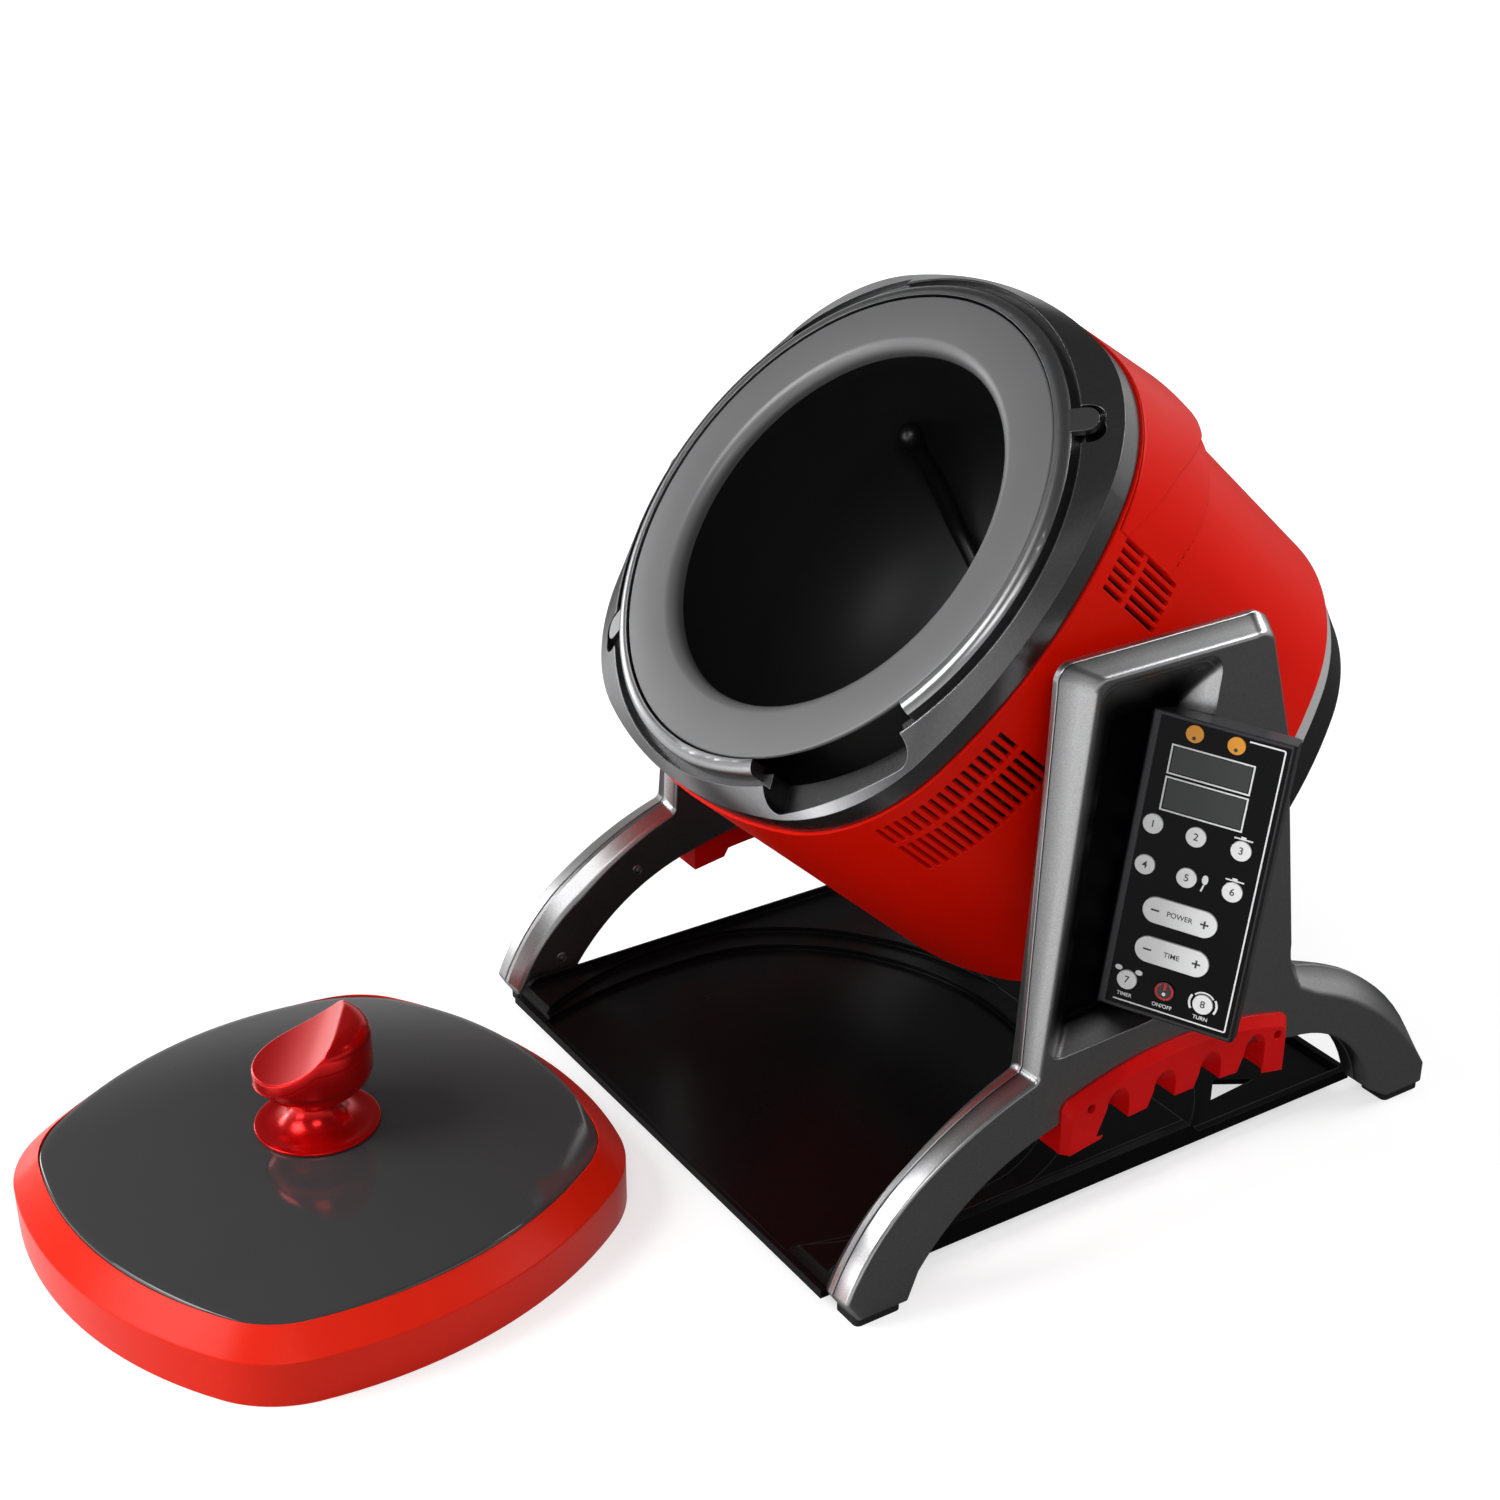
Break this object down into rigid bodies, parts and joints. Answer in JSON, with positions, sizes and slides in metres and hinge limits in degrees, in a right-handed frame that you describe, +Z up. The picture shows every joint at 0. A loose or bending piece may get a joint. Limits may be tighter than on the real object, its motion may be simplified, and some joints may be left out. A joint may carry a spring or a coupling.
{
  "type": "cooking robot",
  "caption": "Countertop cooking robot: a tilting drum with a spinning pot between two arched side frames on a base tray, with a key console and a lift-off lid beside it.",
  "frame": {"origin": "on the table, midway between the two side frames, below the middle of the towers", "axes": "+X to the console's side, +Y to the back, +Z up; the mouth and the lid are toward -Y"},
  "size_m": [0.4081, 0.6844, 0.4271],
  "materials": {
    "red_casing": "satin red moulded casing",
    "graphite_frame": "satin graphite paint",
    "bezel_graphite": "semi-gloss graphite",
    "collar_grey": "semi-gloss dark grey",
    "tray_black": "polished black",
    "cap_black": "fine grained black",
    "band_grey": "light grey satin",
    "rim_aluminium": "brushed, matt",
    "pot_coating": "black non-stick coating",
    "steel": "turned",
    "nylon": "natural nylon",
    "brass_gear": "cut",
    "bronze_bush": "sintered",
    "copper_winding": "enamelled wire",
    "former_plastic": "heat resistant plastic",
    "motor_steel": "zinc plated",
    "rubber_black": "matt",
    "overlay_black": "printed gloss overlay",
    "display_grey": "smoked window",
    "lamp_amber": "amber lens",
    "board_green": "solder mask",
    "key_grey": "light grey, printed",
    "lid_red": "orange red",
    "lid_glass": "smoked tempered glass",
    "knob_red": "deep gloss red",
    "grip_red": "satin red"
  },
  "bodies": {
    "stand": {"base_tray": "tray_black", "frame_inner_right": "graphite_frame", "frame_outer_right": "graphite_frame", "frame_inner_left": "graphite_frame", "frame_outer_left": "graphite_frame", "frame_screws": "steel", "rubber_feet": "rubber_black", "grip_right": "grip_red", "grip_left": "grip_red", "grip_screws": "steel", "trunnion_bush_right": "bronze_bush", "trunnion_bush_left": "bronze_bush", "tilt_motor": "motor_steel", "cord_gland": "rubber_black", "console_housing": "graphite_frame", "console_overlay": "overlay_black", "display_windows": "display_grey", "indicator_lamps": "lamp_amber", "control_board": "board_green"},
    "tilt_pinion": {"tilt_pinion": "brass_gear"},
    "drum": {"bezel": "bezel_graphite", "mouth_collar": "collar_grey", "drum_shell": "red_casing", "drum_hood": "red_casing", "rear_band": "band_grey", "rear_cap": "cap_black", "rear_cap_screws": "steel", "carrier_ring": "steel", "trunnion_right": "steel", "trunnion_left": "steel", "tilt_gear": "nylon", "coil_former": "former_plastic", "induction_coil": "copper_winding", "drive_plate": "steel", "spindle_bearing": "steel", "pot_motor": "motor_steel"},
    "pot": {"pot_bowl": "pot_coating", "pot_neck": "pot_coating", "pot_rim": "rim_aluminium", "stirring_blade": "pot_coating", "pot_spindle": "steel", "pot_gear": "nylon"},
    "pot_pinion": {"pot_pinion": "brass_gear"},
    "lid": {"lid_rim": "lid_red", "lid_glass": "lid_glass", "lid_seal": "rubber_black", "knob_stem": "knob_red", "knob_head": "knob_red", "knob_screw": "steel"},
    "key_one": {"key_one": "key_grey"},
    "key_two": {"key_two": "key_grey"},
    "key_three": {"key_three": "key_grey"},
    "key_four": {"key_four": "key_grey"},
    "key_five": {"key_five": "key_grey"},
    "key_six": {"key_six": "key_grey"},
    "key_timer": {"key_timer": "key_grey"},
    "key_on_off": {"key_on_off": "key_grey"},
    "key_turn": {"key_turn": "key_grey"},
    "power_bar": {"power_bar": "key_grey"},
    "time_bar": {"time_bar": "key_grey"}
  },
  "joints": [
    {"name": "drum_tilt", "type": "hinge", "parent": "stand", "child": "drum", "pos_m": [0, 0.0178, 0.2277], "axis": [1, 0, 0], "range_deg": [-47, 75]},
    {"name": "tilt_pinion_spin", "type": "hinge", "parent": "stand", "child": "tilt_pinion", "pos_m": [-0.1686, 0.0178, 0.18395], "axis": [1, 0, 0], "continuous": true},
    {"name": "pot_spin", "type": "hinge", "parent": "drum", "child": "pot", "pos_m": [0, -0.0895, 0.32671], "axis": [0, -0.7349, 0.6782], "continuous": true},
    {"name": "pot_pinion_spin", "type": "hinge", "parent": "drum", "child": "pot_pinion", "pos_m": [0, -0.05135, 0.36805], "axis": [0, -0.7349, 0.6782], "continuous": true},
    {"name": "lid_lift", "type": "slide", "parent": "stand", "child": "lid", "axis": [0, 0, 1], "range_m": [0, 0.3]},
    {"name": "key_one_press", "type": "slide", "parent": "stand", "child": "key_one", "axis": [-0.509, 0.8517, -0.1243], "range_m": [0, 0.0008], "stiffness_N_per_m": 300},
    {"name": "key_two_press", "type": "slide", "parent": "stand", "child": "key_two", "axis": [-0.509, 0.8517, -0.1243], "range_m": [0, 0.0008], "stiffness_N_per_m": 300},
    {"name": "key_three_press", "type": "slide", "parent": "stand", "child": "key_three", "axis": [-0.509, 0.8517, -0.1243], "range_m": [0, 0.0008], "stiffness_N_per_m": 300},
    {"name": "key_four_press", "type": "slide", "parent": "stand", "child": "key_four", "axis": [-0.509, 0.8517, -0.1243], "range_m": [0, 0.0008], "stiffness_N_per_m": 300},
    {"name": "key_five_press", "type": "slide", "parent": "stand", "child": "key_five", "axis": [-0.509, 0.8517, -0.1243], "range_m": [0, 0.0008], "stiffness_N_per_m": 300},
    {"name": "key_six_press", "type": "slide", "parent": "stand", "child": "key_six", "axis": [-0.509, 0.8517, -0.1243], "range_m": [0, 0.0008], "stiffness_N_per_m": 300},
    {"name": "key_timer_press", "type": "slide", "parent": "stand", "child": "key_timer", "axis": [-0.509, 0.8517, -0.1243], "range_m": [0, 0.0008], "stiffness_N_per_m": 300},
    {"name": "key_on_off_press", "type": "slide", "parent": "stand", "child": "key_on_off", "axis": [-0.509, 0.8517, -0.1243], "range_m": [0, 0.0008], "stiffness_N_per_m": 300},
    {"name": "key_turn_press", "type": "slide", "parent": "stand", "child": "key_turn", "axis": [-0.509, 0.8517, -0.1243], "range_m": [0, 0.0008], "stiffness_N_per_m": 300},
    {"name": "power_bar_rock", "type": "hinge", "parent": "stand", "child": "power_bar", "pos_m": [0.18627, -0.01463, 0.1743], "axis": [0, -0.1444, -0.9895], "range_deg": [-1.5, 1.5], "stiffness_Nm_per_rad": 0.6},
    {"name": "time_bar_rock", "type": "hinge", "parent": "stand", "child": "time_bar", "pos_m": [0.18627, -0.01757, 0.15412], "axis": [0, -0.1444, -0.9895], "range_deg": [-1.5, 1.5], "stiffness_Nm_per_rad": 0.6}
  ],
  "couplings": [
    {"joint": "pot_pinion_spin", "follows": "pot_spin", "ratio": -4},
    {"joint": "tilt_pinion_spin", "follows": "drum_tilt", "ratio": -4}
  ]
}
